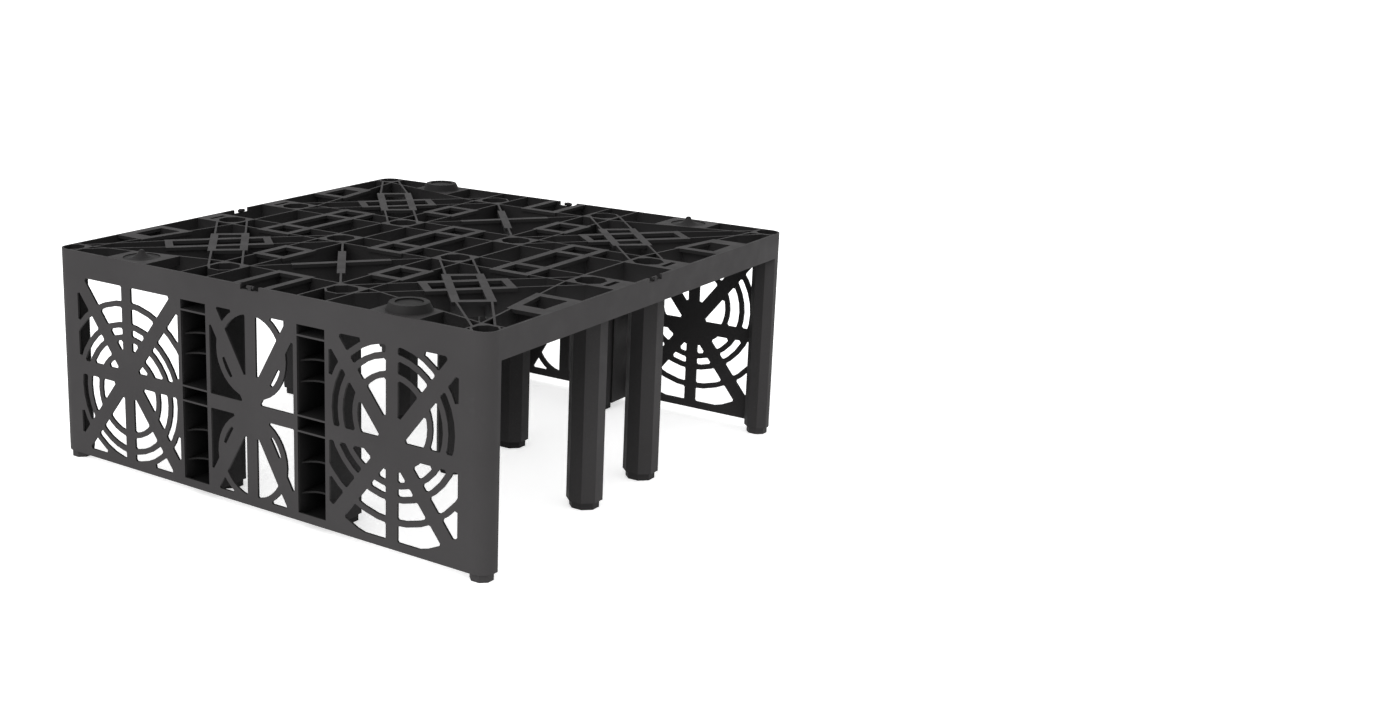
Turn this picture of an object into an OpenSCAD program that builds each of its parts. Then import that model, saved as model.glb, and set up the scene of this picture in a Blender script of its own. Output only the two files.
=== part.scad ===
// Soakaway crate: a square deck of ribs on sixteen hollow columns, with a grille wall
// on two opposite sides and the other two sides open. Moulded as one piece.
// All sizes in millimetres, +Z up, the feet stand on Z = 0, the grille walls face -Y and +Y.

/* [Block] */
// Length of each side of the square block, over its outer faces
block_w = 800; // [780:5:840]
// Height from the bottom edge of the grille walls to the deck top
block_h = 318; // [300:1:340]
// Depth of the deck ribs and of the edge beams
deck_h = 39; // [34:1:44]
// Radius of the four upright outer corners
corner_r = 21; // [18:1:24]
// Thickness of the rim round the deck
rim_t = 4; // [3:0.5:6]
// Thickness of the deck ribs
rib_t = 3.2; // [2.6:0.1:4]

/* [Columns] */
// Width across flats of a column
column_af = 48.5; // [45:0.5:51]
// Width across flats of a corner column
corner_af = 38.5; // [36:0.5:41]
// Wall thickness of the columns
column_wall = 3; // [2.4:0.1:3.6]
// Distance of the inner columns from the middle, across the block
column_x = 110.3; // [104:0.1:116]
// Distance of the inner columns from the middle, from wall to wall
column_y = 77.7; // [72:0.1:84]
// Distance of the open-side columns from the open side
side_inset = 57.5; // [53:0.5:62]
// Distance of the wall columns from the outer face of the wall
wall_inset = 66.5; // [62:0.5:72]
// Height of the spigots under the columns
spigot_h = 11.5; // [9:0.5:16]
// Clearance all round a spigot in the socket of a crate below
stack_gap = 3.9; // [3.2:0.1:4.6]
// Thickness of the floor of a spigot
spigot_floor = 3; // [2:0.5:5]

/* [Grille walls] */
// Thickness of the grille walls
wall_t = 3.4; // [2.8:0.1:3.8]
// Height of the plain band under the grille
sill_h = 12; // [9:0.5:16]
// Width of the plain border beside each corner
border_w = 44.7; // [42:0.1:47]
// Width of the posts beside the recesses
post_w = 7; // [5:0.5:9]
// Width of the recesses in front of the wall columns
recess_w = 49.3; // [45:0.1:50]
// Width of the upright spokes
upright_w = 19.5; // [15:0.5:23]
// Width of the level spokes
level_w = 21; // [16:0.5:24]
// Width of the slanting spokes
slant_w = 22; // [17:0.5:25]
// Drop of the level spokes below the middle of the grille
level_drop = 5.4; // [3:0.1:8]
// Radii of the four rings in a side panel, on their middle lines
ring_r = [61.8, 87, 106, 138]; // [50:0.5:145]
// Width of the rings in a side panel
ring_w = 8.4; // [6:0.2:10]
// Radius of the ring that closes the lower corners of a right-hand panel, on its middle line
corner_ring_r = 175.6; // [173:0.2:178]
// Shift of the side rings from the middle of the grille, down on the left and up on the right
ring_shift = 31; // [27:0.5:35]
// Radius of the two rings in the middle panel, on their middle lines
loop_r = 60.8; // [57:0.2:64]
// Width of the two rings in the middle panel
loop_w = 9.4; // [7:0.2:11]
// Height of the middle rings above and below the middle of the grille
loop_shift = 76; // [72:0.5:80]
// Size of the blunted corners of the slots in the side panels
slot_r = 3.6; // [2:0.2:4.4]
// Size of the blunted corners of the slots in the middle panel
loop_slot_r = 2.4; // [1.6:0.2:2.8]

/* [Recesses] */
// Thickness of the plates across the recesses
plate_t = 2.6; // [2:0.1:4]
// Heights of the flush plates, down from the deck top
flush_down = [54, 166.5, 188.5]; // [45:0.5:200]
// Heights of the hollowed plates, down from the deck top
hollow_down = [91, 121, 236, 280]; // [80:0.5:290]

/* [Deck frames] */
// Width of the flanged bars
flange_w = 12; // [10:0.5:14]
// Thickness of the flanges
flange_t = 5; // [3:0.5:8]
// Distance between the two long bars of a three-cell frame
ladder_w = 54; // [50:0.5:60]
// Distance between the cross bars of a square frame
square_l = 61; // [56:0.5:66]
// Distance between the bars of a crossed frame
hash_w = 48; // [45:0.5:50]
// Reach of a crossed frame towards the middle
hash_in = 60; // [54:0.5:64]
// Reach of a crossed frame towards the corner
hash_out = 91; // [86:0.5:96]
// Reach of a crossed frame to either side
hash_side = 58; // [54:0.5:62]
// Length of the flanged part of the crossed ribs in the middle cells
cross_l = 146; // [120:1:160]
// Distance between the bars of the edge frames beside the walls
gate_w = 57; // [52:0.5:62]
// Distance of the edge pockets on the open sides from the middle
pocket_y = 226; // [222:0.5:230]
// Length of the edge pockets
pocket_l = 58; // [52:0.5:62]
// Width of the plate between an edge pocket and the open side
pocket_edge = 17; // [14:0.5:20]

/* [Coupling] */
// Distance of the coupling pads from the middle
pad_x = 249.5; // [246:0.5:253]
// Width of the coupling pads
pad_w = 81; // [76:0.5:86]
// Thickness of the coupling pads
pad_t = 14; // [12:0.5:18]
// Distance of the coupling domes and dishes from the wall face
dome_inset = 35; // [34:0.5:37]
// Radius of a dome at its foot
dome_foot_r = 32; // [30:0.5:33]
// Radius of a dome at its top
dome_top_r = 26.5; // [24:0.5:28]
// Height of a dome
dome_h = 11; // [8:0.5:14]
// Radius of the hollow in the top of a dome
hollow_r = 19; // [15:0.5:21]
// Depth of the hollow in the top of a dome
hollow_h = 5; // [3:0.5:7]
// Clearance all round a dome in a dish
dome_gap = 1; // [0.5:0.1:1.5]
// Depth of a dish
dish_h = 9; // [6:0.5:10]
// Width of the notches in the middle of the rim on each side
notch_w = 34; // [28:1:40]
// Depth of the notches
notch_h = 6.5; // [4:0.5:9]
// Length of the slots in the plates beside the open-side columns
slot_l = 32; // [26:1:36]
// Width of those slots
slot_w = 8; // [6:0.5:9]

/* [Hidden] */
half = block_w / 2;
base_z = spigot_h;
top_z = base_z + block_h;
deck_z = top_z - deck_h;
over = 1;
merge = 0.5;
pitch = (column_af + rib_t) / 2 - merge;
band_in = column_x - pitch;
band_out = column_x + pitch;
row_in = column_y - pitch;
row_out = column_y + pitch;
side_x = half - side_inset;
wall_y = half - wall_inset;
corner_c = half - corner_af / 2 + merge;
ring_x = side_x - pitch;
ring_y = wall_y - pitch;
corner_rib = corner_c - (corner_af + rib_t) / 2 + merge;
edge = half - rim_t / 2;
side = [side_x, column_y];
front = [column_x, wall_y];
inner = [column_x, column_y];
corner = [corner_c, corner_c];
radial = (corner - inner) / norm(corner - inner);
tangent = (front - side) / norm(front - side);
hash_along = cross2(side - inner, tangent) / cross2(radial, tangent);
hash_c = inner + radial * hash_along;
radial_n = [-radial[1], radial[0]];
tangent_n = [-tangent[1], tangent[0]];
pocket_in = pocket_y - pocket_l / 2;
pocket_out = pocket_y + pocket_l / 2;
recess_in = column_x - recess_w / 2;
recess_out = column_x + recess_w / 2;
mid_half = recess_in - post_w;
panel_in = recess_out + post_w;
panel_out = half - border_w;
panel_x = (panel_in + panel_out) / 2;
wall_end = half - corner_r - 2 * over;
grille_lo = base_z + sill_h;
grille_mid = (grille_lo + deck_z) / 2;
level_z = grille_mid - level_drop;
dome_y = half - dome_inset;
facets = 36;
smooth = 48;

function cross2(a, b) = a[0] * b[1] - a[1] * b[0];
function flip(p, sx, sy) = [p[0] * sx, p[1] * sy];
// Where the slanting ring rib beside an open side stands, at a distance y from the middle
function lean_x(y) = ring_x + (corner_rib - ring_x) * (y - row_out) / (corner_rib - row_out);
// Where the slanting ring rib beside a wall stands, at a distance x from the middle
function lean_y(x) = ring_y + (corner_rib - ring_y) * (x - band_out) / (corner_rib - band_out);

// A straight bar on the plan from p to q
module bar(p, q, w) {
    d = q - p;
    translate(p)
        rotate(atan2(d[1], d[0]))
            translate([0, -w / 2])
                square([norm(d), w]);
}

// A rectangle on the plan between two opposite corners
module box(p, q) {
    translate([min(p[0], q[0]), min(p[1], q[1])])
        square([abs(q[0] - p[0]), abs(q[1] - p[1])]);
}

module octagon(af) {
    rotate(180 / 8)
        circle(d = af / cos(180 / 8), $fn = 8);
}

// The rounded square outline, set in by d from the outer faces
module outline(d) {
    r = corner_r - d;
    c = half - corner_r;
    square([2 * c, 2 * (half - d)], center = true);
    square([2 * (half - d), 2 * c], center = true);
    for (sx = [-1, 1], sy = [-1, 1])
        translate([sx * c, sy * c])
            circle(r = r, $fn = smooth);
}

module rim_plan() {
    difference() {
        outline(0);
        outline(rim_t);
    }
}

// Thin ribs of the deck
module rib_plan() {
    rim_plan();
    for (s = [-1, 1]) {
        for (b = [band_in, band_out])
            bar([s * b, -edge], [s * b, edge], rib_t);
        for (r = [row_in, row_out])
            bar([-edge, s * r], [edge, s * r], rib_t);
        bar([s * ring_x, -row_out], [s * ring_x, row_out], rib_t);
        bar([-band_out, s * ring_y], [band_out, s * ring_y], rib_t);
        for (e = [-1, 1]) {
            bar([e * band_in, s * ring_y], [-e * band_in, s * row_out], rib_t);
            bar([e * gate_w / 2, s * ring_y], [e * gate_w / 2, s * edge], rib_t);
        }
    }
    for (x = [-hash_c[0], 0, hash_c[0]], e = [-1, 1])
        bar([x + e * ladder_w / 2, -row_out], [x + e * ladder_w / 2, row_out], rib_t);
    for (sx = [-1, 1], sy = [-1, 1])
        quarter_ribs(sx, sy);
}

// Thin ribs that repeat in each quarter of the deck
module quarter_ribs(sx, sy) {
    knee = flip([corner_rib, corner_rib], sx, sy);
    bar(flip([ring_x, row_out], sx, sy), knee, rib_t);
    bar(flip([band_out, ring_y], sx, sy), knee, rib_t);
    elbow = corner_rib - rib_t / 2;
    bar(flip([corner_rib, elbow], sx, sy), flip([corner_rib, edge], sx, sy), rib_t);
    bar(flip([elbow, corner_rib], sx, sy), flip([edge, corner_rib], sx, sy), rib_t);
    for (e = [-1, 1]) {
        a = radial_n * e * hash_w / 2;
        b = tangent_n * e * hash_w / 2;
        turn = hash_c + radial * hash_out + a;
        meet = e > 0 ? [corner_rib, corner_c] : [corner_c, corner_rib];
        bar(flip(inner + a, sx, sy), flip(turn, sx, sy), rib_t);
        bar(flip(turn, sx, sy), flip(meet, sx, sy), rib_t);
        bar(flip(side + b, sx, sy), flip(front + b, sx, sy), rib_t);
        y = hash_c[1] + e * square_l / 2;
        bar(flip([band_in, y], sx, sy), flip([band_out, y], sx, sy), rib_t);
    }
    for (y = [pocket_in, pocket_out])
        bar(flip([lean_x(y), y], sx, sy), flip([edge, y], sx, sy), rib_t);
}

// Flanged bars, filled corners and plates in the top of the deck
module flange_plan() {
    w = flange_w;
    for (x = [-hash_c[0], 0, hash_c[0]]) {
        for (e = [-1, 1])
            bar([x + e * ladder_w / 2, -row_out - w / 2], [x + e * ladder_w / 2, row_out + w / 2], w);
        for (y = [-row_out, -row_in, row_in, row_out])
            bar([x - ladder_w / 2, y], [x + ladder_w / 2, y], w);
    }
    for (sx = [-1, 1], sy = [-1, 1])
        quarter_flanges(sx, sy);
    for (s = [-1, 1], e = [-1, 1]) {
        arm = [band_in, (ring_y - row_out) / 2];
        reach = arm / norm(arm) * cross_l / 2;
        mid = [0, s * (ring_y + row_out) / 2];
        bar(mid - flip(reach, e, 1), mid + flip(reach, e, 1), w);
        bar([e * gate_w / 2, s * (ring_y - w / 2)], [e * gate_w / 2, s * edge], w);
        bar([0, s * ring_y], [e * gate_w / 2, s * ring_y], w);
    }
}

// Flanged bars that repeat in each quarter of the deck
module quarter_flanges(sx, sy) {
    w = flange_w;
    for (e = [-1, 1]) {
        y = hash_c[1] + e * square_l / 2;
        x = column_x + e * pitch;
        bar(flip([band_in - w / 2, y], sx, sy), flip([band_out + w / 2, y], sx, sy), w);
        bar(flip([x, hash_c[1] - square_l / 2], sx, sy), flip([x, hash_c[1] + square_l / 2], sx, sy), w);
        a = radial_n * e * hash_w / 2;
        b = tangent_n * e * hash_w / 2;
        bar(flip(hash_c + a - radial * hash_in, sx, sy), flip(hash_c + a + radial * hash_out, sx, sy), w);
        side_reach = tangent * hash_side;
        bar(flip(hash_c + b - side_reach, sx, sy), flip(hash_c + b + side_reach, sx, sy), w);
    }
    for (along = [-hash_in, hash_out])
        hash_cap(hash_c + radial * along, radial_n, sx, sy);
    for (along = [-hash_side, hash_side])
        hash_cap(hash_c + tangent * along, tangent_n, sx, sy);
    box(flip([band_in, row_in], sx, sy), flip([band_out, row_out], sx, sy));
    box(flip([band_in, ring_y], sx, sy), flip([band_out, wall_y], sx, sy));
    box(flip([corner_rib, corner_rib], sx, sy), flip([corner_c, corner_c], sx, sy));
    difference() {
        box(flip([ring_x, row_in], sx, sy), flip([edge, row_out], sx, sy));
        translate(flip([side_x + pitch + slot_w, column_y], sx, sy))
            square([slot_w, slot_l], center = true);
    }
    difference() {
        polygon([for (p = pocket_plan()) flip(p, sx, sy)]);
        polygon([for (p = pocket_hole()) flip(p, sx, sy)]);
    }
}

module hash_cap(c, n, sx, sy) {
    reach = n * (hash_w + flange_w) / 2;
    bar(flip(c - reach, sx, sy), flip(c + reach, sx, sy), flange_w);
}

// Plate round an edge pocket
function pocket_plan() = let (lo = pocket_in - flange_w, hi = pocket_out + 2 * flange_w) [
    [lean_x(lo) - flange_w / 2, lo],
    [edge, lo],
    [edge, hi],
    [lean_x(hi) - flange_w / 2, hi]
];

function pocket_hole() = [
    [lean_x(pocket_in) + flange_w / 2, pocket_in],
    [half - pocket_edge, pocket_in],
    [half - pocket_edge, pocket_out],
    [lean_x(pocket_out) + flange_w / 2, pocket_out]
];

module deck() {
    layer(deck_z, top_z - flange_t)
        difference() {
            union() {
                rib_plan();
                shaft_plan();
            }
            column_plan(column_wall);
        }
    layer(top_z - flange_t, top_z)
        difference() {
            union() {
                rib_plan();
                shaft_plan();
                flange_plan();
            }
            column_plan(column_wall);
        }
    layer(top_z - pad_t, top_z)
        for (sx = [-1, 1], sy = [-1, 1])
            pad_plan(sx, sy);
}

module pad_plan(sx, sy) {
    a = pad_x - pad_w / 2;
    b = pad_x + pad_w / 2;
    polygon([for (p = [[a, lean_y(a)], [b, lean_y(b)], [b, edge], [a, edge]]) flip(p, sx, sy)]);
}

// Spokes and rings of one grille panel, h wide to each side, and its ring centres and radii
module panel_bars(h, crossing, rings, width) {
    tall = deck_z - grille_lo;
    slope = atan2(tall / 2, h);
    translate([-upright_w / 2, grille_lo - over])
        square([upright_w, tall + 2 * over]);
    translate([-h - over, level_z - level_w / 2])
        square([2 * (h + over), level_w]);
    for (a = [-slope, slope])
        translate([0, crossing])
            rotate(a)
                square([2 * norm([h, tall]), slant_w], center = true);
    for (ring = rings)
        translate([0, ring[0]])
            difference() {
                circle(r = ring[1] + width / 2, $fn = facets);
                circle(r = ring[1] - width / 2, $fn = facets);
            }
}

// Openings of one grille panel, their corners blunted by r
module panel_slots(x, h, rings, width, r) {
    translate([x, 0])
        offset(delta = r, chamfer = true)
            offset(delta = -r)
                difference() {
                    translate([-h, grille_lo])
                        square([2 * h, deck_z - grille_lo]);
                    panel_bars(h, grille_mid, rings, width);
                }
}

// Centre heights and radii of the rings on the left, s = -1, or the right, s = 1
function side_rings(s) = [for (r = s > 0 ? concat(ring_r, corner_ring_r) : ring_r)
    [grille_mid + s * ring_shift, r]];
function loops() = [for (s = [-1, 1]) [grille_mid + s * loop_shift, loop_r]];

// One grille wall, drawn across and up
module wall_plan() {
    difference() {
        translate([-wall_end, base_z])
            square([2 * wall_end, deck_z - base_z]);
        for (s = [-1, 1])
            panel_slots(s * panel_x, (panel_out - panel_in) / 2, side_rings(s), ring_w, slot_r);
        panel_slots(0, mid_half, loops(), loop_w, loop_slot_r);
        for (s = [-1, 1])
            translate([s * column_x - recess_w / 2, grille_lo])
                square([recess_w, deck_z - grille_lo]);
    }
}

module walls() {
    for (y = [wall_t - half, half])
        translate([0, y, 0])
            rotate([90, 0, 0])
                linear_extrude(wall_t)
                    wall_plan();
}

// One plate across each recess, flush with the wall or hollowed in front
module plates(down, hollow) {
    plate_end = half - (hollow ? wall_t : 0);
    translate([0, 0, top_z - down - plate_t / 2])
        linear_extrude(plate_t)
            for (sx = [-1, 1], sy = [-1, 1])
                difference() {
                    box(flip([band_in, wall_y], sx, sy), flip([band_out, plate_end], sx, sy));
                    translate(flip(front, sx, sy))
                        octagon(column_af - 2 * merge);
                    if (hollow)
                        translate(flip([column_x, half], sx, sy))
                            circle(d = recess_w, $fn = facets);
                }
}

function columns() = [for (sx = [-1, 1], sy = [-1, 1]) each [
    [flip(inner, sx, sy), column_af],
    [flip(side, sx, sy), column_af],
    [flip(front, sx, sy), column_af],
    [flip(corner, sx, sy), corner_af]
]];

// Eight-sided plans of all columns, narrowed by d all round and rounded with the block's corners
module column_plan(d) {
    intersection() {
        outline(d);
        for (c = columns())
            translate(c[0])
                octagon(c[1] - 2 * d);
    }
}

// Plan of the column shafts, with their webs to the walls and the block's rounded corners
module shaft_plan() {
    column_plan(0);
    intersection() {
        outline(0);
        for (sx = [-1, 1], sy = [-1, 1])
            box(flip(corner, sx, sy), flip([half, half], sx, sy));
    }
    for (sx = [-1, 1], sy = [-1, 1], b = [band_in, band_out])
        bar(flip([b, wall_y], sx, sy), flip([b, edge], sx, sy), rib_t);
}

module layer(z0, z1) {
    translate([0, 0, z0])
        linear_extrude(z1 - z0)
            children();
}

// Spigots and shafts, hollow from the deck down to the spigot floors
module columns_below() {
    narrow = column_wall + stack_gap;
    layer(0, spigot_floor)
        column_plan(narrow);
    layer(spigot_floor, base_z)
        difference() {
            column_plan(narrow);
            column_plan(narrow + column_wall);
        }
    layer(base_z, base_z + column_wall)
        difference() {
            shaft_plan();
            column_plan(narrow + column_wall);
        }
    layer(base_z + column_wall, deck_z)
        difference() {
            shaft_plan();
            column_plan(column_wall);
        }
}

// Two hollowed domes on opposite corners of the deck
module domes() {
    for (s = [-1, 1])
        translate([s * pad_x, -s * dome_y, top_z])
            difference() {
                cylinder(h = dome_h, r1 = dome_foot_r, r2 = dome_top_r, $fn = smooth);
                translate([0, 0, dome_h - hollow_h])
                    cylinder(h = hollow_h + over, r = hollow_r, $fn = smooth);
            }
}

// Dishes in the pads, and notches in the rim
module deck_cuts() {
    for (s = [-1, 1]) {
        translate([-s * pad_x, -s * dome_y, top_z - dish_h])
            cylinder(h = dish_h + over, r = dome_top_r + dome_gap, $fn = smooth);
        translate([s * half, 0, top_z])
            cube([4 * rim_t, notch_w, 2 * notch_h], center = true);
        translate([0, s * half, top_z])
            cube([notch_w, 4 * rim_t, 2 * notch_h], center = true);
    }
}

module crate() {
    color([0.3, 0.3, 0.3]) {
        difference() {
            deck();
            deck_cuts();
        }
        walls();
        columns_below();
        domes();
        for (down = flush_down)
            plates(down, false);
        for (down = hollow_down)
            plates(down, true);
    }
}

crate();
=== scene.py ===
"""Looks of the soakaway crate: moulded plastic, its smallest forms, floor, studio light and camera."""

import math

import bmesh
import bpy
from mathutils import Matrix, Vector


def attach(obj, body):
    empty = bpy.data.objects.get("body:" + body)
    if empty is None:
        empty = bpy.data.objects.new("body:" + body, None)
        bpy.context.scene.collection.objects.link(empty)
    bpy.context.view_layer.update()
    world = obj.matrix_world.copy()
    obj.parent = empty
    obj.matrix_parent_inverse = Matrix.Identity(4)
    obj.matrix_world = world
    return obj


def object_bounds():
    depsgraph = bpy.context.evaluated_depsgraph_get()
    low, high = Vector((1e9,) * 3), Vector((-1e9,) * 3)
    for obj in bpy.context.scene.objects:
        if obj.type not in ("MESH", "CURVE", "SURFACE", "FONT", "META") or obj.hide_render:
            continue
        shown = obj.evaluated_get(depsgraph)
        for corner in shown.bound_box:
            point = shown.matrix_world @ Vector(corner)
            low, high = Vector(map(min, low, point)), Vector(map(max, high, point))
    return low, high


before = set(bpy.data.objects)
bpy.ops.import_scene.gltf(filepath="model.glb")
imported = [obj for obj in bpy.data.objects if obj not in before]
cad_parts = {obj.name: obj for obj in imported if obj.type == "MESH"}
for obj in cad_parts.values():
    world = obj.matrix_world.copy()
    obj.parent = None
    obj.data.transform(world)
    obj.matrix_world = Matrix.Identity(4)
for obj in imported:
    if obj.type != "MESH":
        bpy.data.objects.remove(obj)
cad_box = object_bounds()

# Photograph: frame in pixels, and the lens and view that fit the crate's edges
IMAGE_W = 1380
IMAGE_H = 720
SENSOR_W = 36.0
FOCAL_PX = 1666.8
AXIS_PX = (378.0, 286.5)
CAMERA_FROM_DECK = Vector((1.5276, -1.9996, 0.5271))
CAMERA_LOOK = Vector((-0.6138, 0.7544, -0.2328))

# Studio: white surroundings, and a floor that glows
WHITE = (1.0, 1.0, 1.0, 1.0)
SKY_STRENGTH = 1.0
FLOOR_SIZE = 60.0
FLOOR_CLOUD_SIZE = 0.5
FLOOR_CLOUDS = (0.3, 0.7)
FLOOR_DARK = (0.86, 0.86, 0.86)
FLOOR_PALE = (0.88, 0.88, 0.88)
FLOOR_ROUGHNESS = 0.9
FLOOR_SPECULAR = 0.1
FLOOR_GLOW = 0.58

# Colours of the plastic: the two ends of its clouds, its scuffs, and the painted shade for where it lies
# sheltered
CLOUD_DARK = (0.0348, 0.0331, 0.0338)
CLOUD_PALE = (0.0395, 0.0378, 0.0385)
SCUFF = (0.0470, 0.0456, 0.0461)
PAINTED_SHADE = (0.006, 0.006, 0.006)

# Painted shade on the ribs inside the deck, as colours at their head and foot, paler at the foot to
# offset the real shade deeper down, and how much darker the domes are painted
RIB_HEAD_PAINTED_SHADE = (0.0125, 0.0121, 0.0123)
RIB_FOOT_PAINTED_SHADE = (0.0240, 0.0234, 0.0237)
DOME_PAINTED_SHADE = 0.62

# Clouds, scuffs and grain of the plastic: sizes in metres, and which stretch of each noise counts
FLOW_SIZE = 0.16
FLOW_CLOUDS = (0.35, 0.65)
SCUFF_SIZE = 0.03
SCUFF_MARKS = (0.58, 0.74)
SCUFF_SHARE = 0.35
GLOSS_CLOUDS = (0.3, 0.7)
PLASTIC_ROUGHNESS = (0.52, 0.66)
PLASTIC_SPECULAR = 0.06
GRAIN_SIZE = 0.0011
GRAIN_DEPTH = 0.00004
GRAIN_STRENGTH = 0.5

# How far off a neighbour still shelters a place, in metres, and how steeply that paints shade into its
# colour
SHELTER_REACH = 0.7
SHELTER_STEEPNESS = 2.1
SHELTER_SAMPLES = 8

# How open the small forms lie, from nothing to one, which sets how much painted shade their colour gets
DISH_OPENNESS = 0.45
DOME_OPENNESS = 0.35
CORNER_FOOT_OPENNESS = 0.9
SIDE_FOOT_OPENNESS = 0.5
INNER_FOOT_OPENNESS = 0.15

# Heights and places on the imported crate, in metres
HALF = cad_box[1][0]
DOME_H = 0.011
DECK_H = 0.039
DECK_TOP = cad_box[1][2] - DOME_H
DECK_FOOT = DECK_TOP - DECK_H
WALL_FOOT = 0.0115
INNER_COLUMN = (0.1103, 0.0777)
SIDE_COLUMN = (0.3425, 0.0777)
WALL_COLUMN = (0.1103, 0.3335)
PAD = (0.2495, 0.365)
QUARTERS = [(sx, sy) for sx in (-1, 1) for sy in (-1, 1)]

# Where the painted shade of the deck and the domes fades: in the rim's thickness, under the deck's top,
# at its foot and over its top. At the round corners both distances from the middle add up to CORNER_CUT
# more.
RIM_FADE = (HALF - 0.0036, HALF - 0.003)
TOP_FADE = (DECK_TOP - 0.0006, DECK_TOP - 0.0002)
FOOT_FADE = (DECK_FOOT - 0.001, DECK_FOOT)
DOME_FADE = (DECK_TOP + 0.0004, DECK_TOP + 0.001)
CORNER_CUT = 0.3895

# Floors in the dishes and their pins: radii and heights from the deck's top, angles in radians
DISH_R = 0.0274
DISH_BOTTOM = -0.0088
DISH_FLOOR = -0.0012
DISH_FLARE = [(0.020, DISH_FLOOR), (0.014, 0.0), (0.0098, 0.0024), (0.007, 0.005), (0.0054, 0.0068)]
PIN_R = 0.005
PIN_SHOULDER = 0.0065
PIN_TIP_ANGLES = (0.2, 0.5, 0.8, 1.1)

# Floors in the hollows of the domes, heights from the deck's top
HOLLOW_R = 0.0189
HOLLOW_BOTTOM = 0.0058
HOLLOW_FLOOR = 0.009

# Pegs and bars in the rim's notches, measured inwards from the rim and down from the deck's top
PEG_BACK = 0.004
PEG_FACE = 0.0002
PEG_HALF = 0.003
PEG_FOOT = 0.007
PEG_HEAD = 0.0004
BAR_BACK = 0.0033
BAR_DOWN = 0.003
BAR_R = 0.0025
BAR_HALF = 0.0065
BAR_SIDES = 24

# Plates low in the recesses: half width, gap to the wall's face, heights over the wall's foot,
# and the column's eight-sided outline, which they reach a little into
RECESS_HALF = 0.0252
RECESS_SETBACK = 0.0015
RECESS_LOW = 0.0047
RECESS_HIGH = 0.0073
COLUMN_FLAT = 0.0239
COLUMN_CORNER = 0.0098

# Sleeves round the spigots: widths across flats, wall, gap to the floor, lap onto the column,
# and the middle of those at the corners
FOOT_FLATS = 0.0399
CORNER_FOOT_FLATS = 0.0295
FOOT_WALL = 0.003
FOOT_LIFT = 0.0003
FOOT_LAP = 0.0008
FOOT_SIDES = 8
CORNER_FOOT = (0.3808, 0.3808)


def new_material(name):
    """A material with only its output and one principled shader."""
    material = bpy.data.materials.new(name)
    material.use_nodes = True
    tree = material.node_tree
    tree.nodes.clear()
    output = tree.nodes.new("ShaderNodeOutputMaterial")
    shader = tree.nodes.new("ShaderNodeBsdfPrincipled")
    tree.links.new(shader.outputs["BSDF"], output.inputs["Surface"])
    return material, tree, shader


def noise(tree, size, detail, roughness=0.5):
    """Noise in the object's own space, with features of about that size in metres."""
    place = tree.nodes.new("ShaderNodeTexCoord")
    node = tree.nodes.new("ShaderNodeTexNoise")
    node.inputs["Scale"].default_value = 1 / size
    node.inputs["Detail"].default_value = detail
    node.inputs["Roughness"].default_value = roughness
    tree.links.new(place.outputs["Object"], node.inputs["Vector"])
    return node.outputs["Fac"]


def spread(tree, value, source, target=(0.0, 1.0)):
    """A value carried from one range to another, and held at its ends."""
    node = tree.nodes.new("ShaderNodeMapRange")
    node.inputs["From Min"].default_value = source[0]
    node.inputs["From Max"].default_value = source[1]
    node.inputs["To Min"].default_value = target[0]
    node.inputs["To Max"].default_value = target[1]
    tree.links.new(value, node.inputs["Value"])
    return node.outputs["Result"]


def blend_colours(tree, share, first, second):
    """A colour between two, by share. Each may be a constant or another node's output."""
    node = tree.nodes.new("ShaderNodeMix")
    node.data_type = "RGBA"
    if isinstance(share, float):
        node.inputs["Factor"].default_value = share
    else:
        tree.links.new(share, node.inputs["Factor"])
    for socket, colour in (("A", first), ("B", second)):
        target = next(s for s in node.inputs if s.name == socket and s.type == "RGBA")
        if isinstance(colour, tuple):
            target.default_value = (*colour, 1.0)
        else:
            tree.links.new(colour, target)
    return next(s for s in node.outputs if s.type == "RGBA")


def reckon(tree, operation, *values):
    """The result of an operation on values, each a number or another node's output."""
    node = tree.nodes.new("ShaderNodeMath")
    node.operation = operation
    for socket, value in zip(node.inputs, values):
        if isinstance(value, float):
            socket.default_value = value
        else:
            tree.links.new(value, socket)
    return node.outputs["Value"]


def openness(tree, only_itself):
    """How open a place lies, as the share of unshaded colour against the painted shade: one on outer
    faces, falling to nothing deep between ribs and columns.
    """
    node = tree.nodes.new("ShaderNodeAmbientOcclusion")
    node.samples = SHELTER_SAMPLES
    node.only_local = only_itself
    node.inputs["Distance"].default_value = SHELTER_REACH
    return reckon(tree, "POWER", node.outputs["AO"], SHELTER_STEEPNESS)


def deck_painted_shade_share(tree, axes):
    """One on what lies between the deck's top and foot, within the rim and its round corners, where the
    ribs get their painted shade.
    """
    across = reckon(tree, "ABSOLUTE", axes["X"])
    along = reckon(tree, "ABSOLUTE", axes["Y"])
    towards_corner = reckon(tree, "SUBTRACT", reckon(tree, "ADD", across, along), CORNER_CUT)
    off_middle = reckon(tree, "MAXIMUM", reckon(tree, "MAXIMUM", across, along), towards_corner)
    within_rim = spread(tree, off_middle, RIM_FADE, (1.0, 0.0))
    below_top = spread(tree, axes["Z"], TOP_FADE, (1.0, 0.0))
    above_foot = spread(tree, axes["Z"], FOOT_FADE)
    return reckon(tree, "MULTIPLY", within_rim, reckon(tree, "MULTIPLY", below_top, above_foot))


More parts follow.
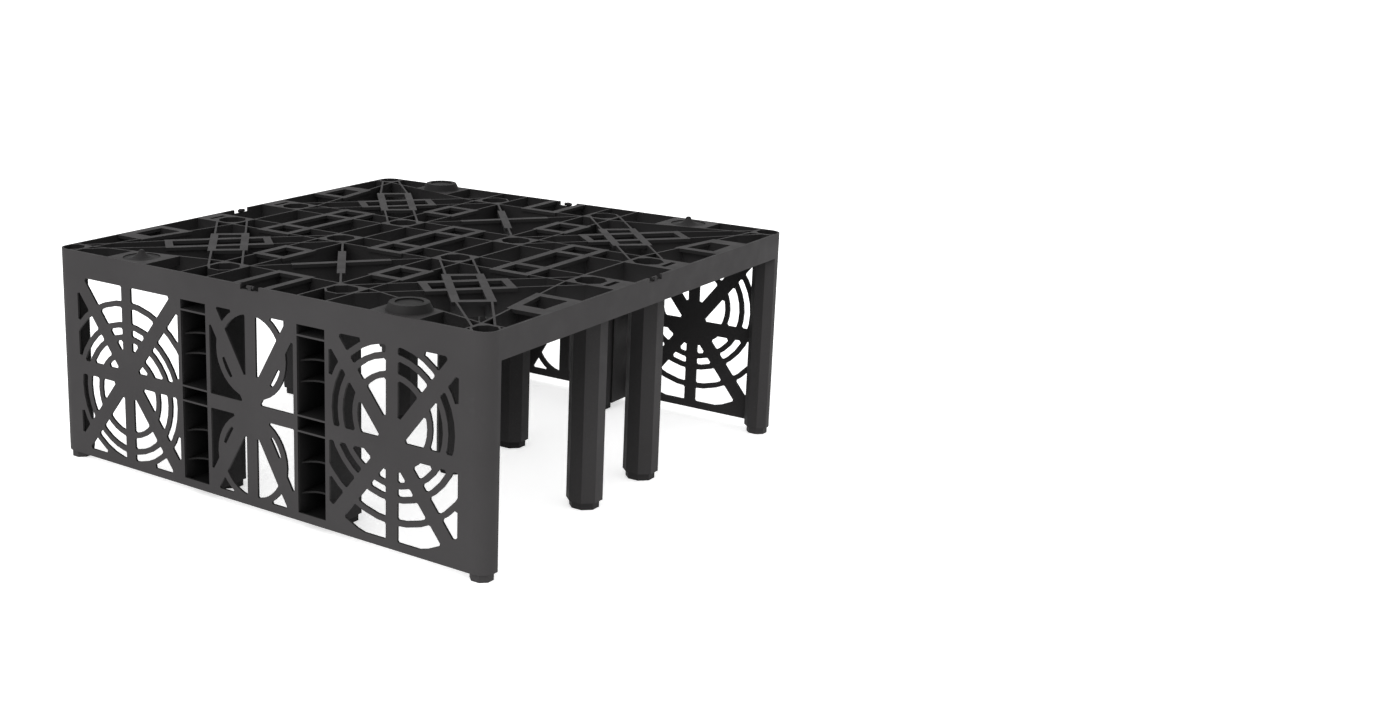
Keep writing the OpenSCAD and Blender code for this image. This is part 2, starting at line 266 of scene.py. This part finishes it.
def paint_shade_by_place(tree, colour):
    """Paints shade into the colour by place: ribs inside the deck get painted shade, paler with depth to
    offset the real shade, and the domes are painted darker.
    """
    place = tree.nodes.new("ShaderNodeTexCoord")
    split = tree.nodes.new("ShaderNodeSeparateXYZ")
    tree.links.new(place.outputs["Object"], split.inputs["Vector"])
    axes = split.outputs
    up_the_rib = spread(tree, axes["Z"], (DECK_FOOT, DECK_TOP))
    rib_painted_shade = blend_colours(tree, up_the_rib, RIB_FOOT_PAINTED_SHADE, RIB_HEAD_PAINTED_SHADE)
    deck_with_painted_shade = blend_colours(tree, deck_painted_shade_share(tree, axes), colour, rib_painted_shade)
    dome_painted_shade_share = spread(tree, axes["Z"], DOME_FADE, (0.0, DOME_PAINTED_SHADE))
    return blend_colours(tree, dome_painted_shade_share, deck_with_painted_shade, PAINTED_SHADE)


def crate_plastic(name, only_itself=False, shade_painted_by_place=False, fixed_openness=None):
    """Matte dark grey moulded plastic: cloudy from the melt's flow, with a fine mould grain, and with
    painted shade where it lies sheltered.
    """
    material, tree, shader = new_material(name)
    flow = spread(tree, noise(tree, FLOW_SIZE, detail=3.0), FLOW_CLOUDS)
    base = blend_colours(tree, flow, CLOUD_DARK, CLOUD_PALE)
    marks = noise(tree, SCUFF_SIZE, detail=8.0, roughness=0.7)
    scuff = spread(tree, marks, SCUFF_MARKS, (0.0, SCUFF_SHARE))
    worn = blend_colours(tree, scuff, base, SCUFF)
    # Painted shade: the colour darkens towards near black by how sheltered the place lies, or by a fixed
    # share for the small forms
    if fixed_openness is None:
        painted_light_share = openness(tree, only_itself)
    else:
        painted_light_share = fixed_openness
    shaded = blend_colours(tree, painted_light_share, PAINTED_SHADE, worn)
    # Further painted shade by place, inside the deck and on the domes
    if shade_painted_by_place:
        shaded = paint_shade_by_place(tree, shaded)
    tree.links.new(shaded, shader.inputs["Base Color"])
    roughness = spread(tree, noise(tree, SCUFF_SIZE, detail=5.0), GLOSS_CLOUDS, PLASTIC_ROUGHNESS)
    tree.links.new(roughness, shader.inputs["Roughness"])
    shader.inputs["Specular IOR Level"].default_value = PLASTIC_SPECULAR
    bump = tree.nodes.new("ShaderNodeBump")
    bump.inputs["Strength"].default_value = GRAIN_STRENGTH
    bump.inputs["Distance"].default_value = GRAIN_DEPTH
    tree.links.new(noise(tree, GRAIN_SIZE, detail=2.0), bump.inputs["Height"])
    tree.links.new(bump.outputs["Normal"], shader.inputs["Normal"])
    return material


def floor_paint():
    """Pale studio floor, lit from below like a light table."""
    material, tree, shader = new_material("floor_paint")
    shade = spread(tree, noise(tree, FLOOR_CLOUD_SIZE, detail=3.0), FLOOR_CLOUDS)
    colour = blend_colours(tree, shade, FLOOR_DARK, FLOOR_PALE)
    tree.links.new(colour, shader.inputs["Base Color"])
    shader.inputs["Roughness"].default_value = FLOOR_ROUGHNESS
    shader.inputs["Specular IOR Level"].default_value = FLOOR_SPECULAR
    shader.inputs["Emission Color"].default_value = WHITE
    shader.inputs["Emission Strength"].default_value = FLOOR_GLOW
    return material


def skin(mesh, rings, hollow=False):
    """Joins rings of points in order, capped at both ends, or with the last joined to the first."""
    pairs = list(zip(rings, rings[1:]))
    if hollow:
        pairs.append((rings[-1], rings[0]))
    else:
        mesh.faces.new(rings[0])
        mesh.faces.new(rings[-1])
    for first, second in pairs:
        for k in range(len(first)):
            mesh.faces.new((first[k - 1], first[k], second[k], second[k - 1]))


def prism(mesh, outline, low, high):
    """Adds an upright prism over an outline on the plan."""
    skin(mesh, [[mesh.verts.new((x, y, z)) for x, y in outline] for z in (low, high)])


def revolve(mesh, profile, at, sides=64, start=0.0, hollow=False):
    """Adds a turned form at a place, from radii and heights along its profile, capped or hollow."""
    angles = [start + 2 * math.pi * k / sides for k in range(sides)]
    rings = []
    for r, z in profile:
        circle = [(at[0] + r * math.cos(a), at[1] + r * math.sin(a)) for a in angles]
        rings.append([mesh.verts.new((x, y, z)) for x, y in circle])
    skin(mesh, rings, hollow)


def turned(x, y, quarter):
    """A place on the plan, turned that many quarters about the middle."""
    for _ in range(quarter):
        x, y = -y, x
    return x, y


def add_piece(name, material, build):
    """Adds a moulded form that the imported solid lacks, riding on its body."""
    mesh = bmesh.new()
    build(mesh)
    bmesh.ops.recalc_face_normals(mesh, faces=mesh.faces)
    data = bpy.data.meshes.new(name)
    mesh.to_mesh(data)
    mesh.free()
    data.materials.append(material)
    piece = bpy.data.objects.new(name, data)
    bpy.context.scene.collection.objects.link(piece)
    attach(piece, "root")


def dish_pins(mesh):
    """A shallow floor in each dish, flaring up to a blunt pin in its middle."""
    profile = [(DISH_R, DISH_BOTTOM), (DISH_R, DISH_FLOOR), *DISH_FLARE]
    for angle in PIN_TIP_ANGLES:
        profile.append((PIN_R * math.cos(angle), PIN_SHOULDER + PIN_R * math.sin(angle)))
    for side in (-1, 1):
        revolve(mesh, [(r, DECK_TOP + z) for r, z in profile], (side * PAD[0], side * PAD[1]))


def dome_floors(mesh):
    """A shallow floor in the hollow of each dome."""
    profile = [(HOLLOW_R, DECK_TOP + HOLLOW_BOTTOM), (HOLLOW_R, DECK_TOP + HOLLOW_FLOOR)]
    for side in (-1, 1):
        revolve(mesh, profile, (side * PAD[0], -side * PAD[1]))


def hook_bar(mesh, quarter):
    """The round bar across one peg, level and along the rim."""
    rings = []
    for y in (-BAR_HALF, BAR_HALF):
        ring = []
        for k in range(BAR_SIDES):
            angle = 2 * math.pi * k / BAR_SIDES
            x = HALF - BAR_BACK + BAR_R * math.cos(angle)
            z = DECK_TOP - BAR_DOWN + BAR_R * math.sin(angle)
            ring.append(mesh.verts.new((*turned(x, y, quarter), z)))
        rings.append(ring)
    skin(mesh, rings)


def rim_hooks(mesh):
    """A peg with a round bar across it in each notch of the rim."""
    back = HALF - PEG_BACK
    face = HALF - PEG_FACE
    peg = [(back, -PEG_HALF), (face, -PEG_HALF), (face, PEG_HALF), (back, PEG_HALF)]
    for quarter in range(4):
        outline = [turned(x, y, quarter) for x, y in peg]
        prism(mesh, outline, DECK_TOP - PEG_FOOT, DECK_TOP - PEG_HEAD)
        hook_bar(mesh, quarter)


def recess_floors(mesh):
    """A plate low in each recess, from the column's flats to just short of the wall's face."""
    x, y = WALL_COLUMN
    wall = HALF - RECESS_SETBACK - y
    flank = [(RECESS_HALF, COLUMN_CORNER), (COLUMN_FLAT, COLUMN_CORNER), (COLUMN_CORNER, COLUMN_FLAT)]
    plan = [(-dx, dy) for dx, dy in flank] + flank[::-1]
    plan += [(RECESS_HALF, wall), (-RECESS_HALF, wall)]
    for sx, sy in QUARTERS:
        outline = [(sx * (x + dx), sy * (y + dy)) for dx, dy in plan]
        prism(mesh, outline, WALL_FOOT + RECESS_LOW, WALL_FOOT + RECESS_HIGH)


def foot_sleeves(columns, flats):
    """Fuller feet: eight-sided sleeves round the spigots of those columns, that wide across flats."""
    half_side = math.pi / FOOT_SIDES
    outer = flats / 2 / math.cos(half_side)
    inner = outer - FOOT_WALL
    top = WALL_FOOT + FOOT_LAP
    profile = [(inner, FOOT_LIFT), (outer, FOOT_LIFT), (outer, top), (inner, top)]

    def build(mesh):
        for x, y in columns:
            for sx, sy in QUARTERS:
                revolve(mesh, profile, (sx * x, sy * y), sides=FOOT_SIDES, start=half_side, hollow=True)

    return build


def dress_crate():
    """The moulded piece keeps its solid, gets its plastic and the small forms that the solid lacks."""
    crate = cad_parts["crate"]
    crate.data.materials.clear()
    # The crate's plastic paints shade by how sheltered it lies and by place; the plastic beside it paints
    # shade by how sheltered it lies among all things
    crate.data.materials.append(crate_plastic("crate_plastic", only_itself=True, shade_painted_by_place=True))
    beside = crate_plastic("plastic_beside")
    # Shaded copies of the plastic, each with a fixed share of painted shade for its kind of small form
    dish = crate_plastic("plastic_dish_painted_shade", fixed_openness=DISH_OPENNESS)
    dome = crate_plastic("plastic_dome_painted_shade", fixed_openness=DOME_OPENNESS)
    open_foot = crate_plastic("plastic_painted_faint_shade", fixed_openness=CORNER_FOOT_OPENNESS)
    half_open_foot = crate_plastic("plastic_painted_half_shade", fixed_openness=SIDE_FOOT_OPENNESS)
    deep_foot = crate_plastic("plastic_painted_deep_shade", fixed_openness=INNER_FOOT_OPENNESS)
    add_piece("dish_pins", dish, dish_pins)
    add_piece("dome_floors", dome, dome_floors)
    add_piece("rim_hooks", beside, rim_hooks)
    add_piece("recess_floors", beside, recess_floors)
    add_piece("corner_feet", open_foot, foot_sleeves([CORNER_FOOT], CORNER_FOOT_FLATS))
    add_piece("side_feet", half_open_foot, foot_sleeves([SIDE_COLUMN], FOOT_FLATS))
    add_piece("inner_feet", deep_foot, foot_sleeves([INNER_COLUMN, WALL_COLUMN], FOOT_FLATS))


def lay_floor():
    """A plain floor far wider than the view, under the crate's feet."""
    bpy.ops.mesh.primitive_plane_add(size=FLOOR_SIZE, location=(0, 0, 0))
    floor = bpy.context.object
    floor.name = "floor"
    floor.data.materials.append(floor_paint())


def soft_light(name, azimuth, elevation, strength, width):
    """A distant soft box, angles in degrees. Azimuth 0 shines on the front wall, 90 on the right side."""
    around = math.radians(azimuth)
    up = math.radians(elevation)
    level = math.cos(up)
    towards = Vector((math.sin(around) * level, -math.cos(around) * level, math.sin(up)))
    light = bpy.data.lights.new(name, "SUN")
    light.energy = strength
    light.angle = math.radians(width)
    lamp = bpy.data.objects.new(name, light)
    lamp.rotation_mode = "QUATERNION"
    lamp.rotation_quaternion = (-towards).to_track_quat("-Z", "Y")
    bpy.context.scene.collection.objects.link(lamp)


def light_studio():
    """White surroundings with a large soft box in front."""
    scene = bpy.context.scene
    scene.world = bpy.data.worlds.new("studio")
    scene.world.use_nodes = True
    sky = scene.world.node_tree.nodes["Background"]
    sky.inputs["Color"].default_value = WHITE
    sky.inputs["Strength"].default_value = SKY_STRENGTH
    soft_light("front_box", azimuth=-5.0, elevation=35.0, strength=1.55, width=50.0)
    scene.view_settings.view_transform = "Standard"


def place_camera():
    """The photograph's view, its frame moved off the lens axis as there."""
    data = bpy.data.cameras.new("camera")
    data.sensor_fit = "HORIZONTAL"
    data.sensor_width = SENSOR_W
    data.lens = FOCAL_PX * SENSOR_W / IMAGE_W
    data.shift_x = (IMAGE_W / 2 - AXIS_PX[0]) / IMAGE_W
    data.shift_y = (AXIS_PX[1] - IMAGE_H / 2) / IMAGE_W
    camera = bpy.data.objects.new("camera", data)
    camera.location = CAMERA_FROM_DECK + Vector((0.0, 0.0, DECK_TOP))
    camera.rotation_mode = "QUATERNION"
    camera.rotation_quaternion = CAMERA_LOOK.to_track_quat("-Z", "Y")
    bpy.context.scene.collection.objects.link(camera)
    bpy.context.scene.camera = camera


dress_crate()
lay_floor()
light_studio()
place_camera()
